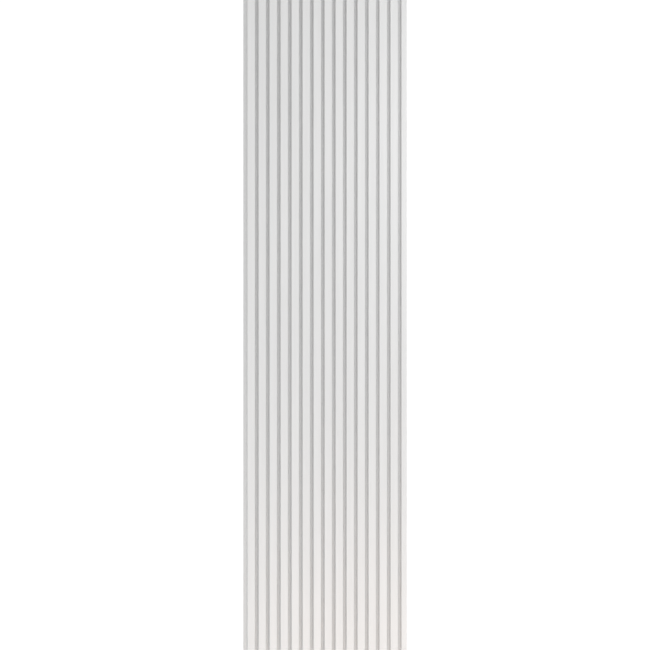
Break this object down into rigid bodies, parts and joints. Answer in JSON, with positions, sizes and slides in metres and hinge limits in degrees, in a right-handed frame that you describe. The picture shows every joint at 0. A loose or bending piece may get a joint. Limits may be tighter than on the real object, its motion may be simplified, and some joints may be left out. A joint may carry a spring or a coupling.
{
  "type": "acoustic slat panel",
  "caption": "Long flat wall panel: parallel white slats with rounded edges, fixed side by side on a grey felt sheet that shows in the gaps and damps sound.",
  "frame": {"origin": "centre of the felt's underside, which the panel lies on", "axes": "+Z out of the slatted face, +Y along the slats towards the picture's top edge, +X across the slats towards the edge slat; the bare felt tongue is at -X"},
  "size_m": [0.6, 2.4, 0.021],
  "materials": {
    "slat_foil": "satin",
    "backing_felt": "matte",
    "staple_wire": "satin"
  },
  "bodies": {
    "root": {"felt_backing": "backing_felt", "slat_01": "slat_foil", "slat_02": "slat_foil", "slat_03": "slat_foil", "slat_04": "slat_foil", "slat_05": "slat_foil", "slat_06": "slat_foil", "slat_07": "slat_foil", "slat_08": "slat_foil", "slat_09": "slat_foil", "slat_10": "slat_foil", "slat_11": "slat_foil", "slat_12": "slat_foil", "slat_13": "slat_foil", "slat_14": "slat_foil", "edge_slat": "slat_foil"}
  },
  "joints": []
}
